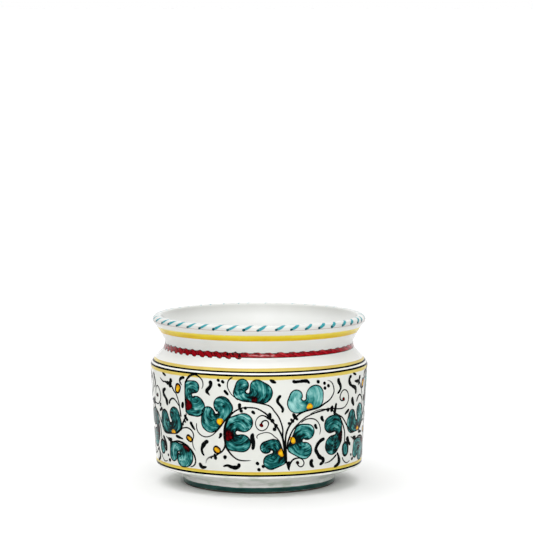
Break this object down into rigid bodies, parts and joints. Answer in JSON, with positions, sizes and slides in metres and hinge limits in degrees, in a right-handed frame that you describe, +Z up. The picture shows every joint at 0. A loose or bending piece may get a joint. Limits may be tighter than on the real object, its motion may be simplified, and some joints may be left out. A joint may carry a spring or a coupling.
{
  "type": "cachepot",
  "caption": "Round glazed earthenware cachepot with a flared mouth, drawn-in neck, sloping shoulder, tapered belly and turned foot ring, to hide a plain plant pot.",
  "frame": {"origin": "centre of the flat face that the foot ring stands on", "axes": "+Z up along the axis that the vessel was thrown about; -Y is the side that the picture shows"},
  "size_m": [0.2406, 0.2406, 0.187],
  "materials": {
    "tin_glaze": "glossy white tin glaze over fired clay",
    "painted_teal": "brushed copper green under gloss glaze",
    "painted_yellow": "banded yellow under gloss glaze",
    "painted_red": "brushed red under gloss glaze",
    "painted_black": "brushed manganese black under gloss glaze",
    "bare_clay": "unglazed fired clay"
  },
  "bodies": {
    "root": {"pot_body": "tin_glaze"}
  },
  "joints": []
}
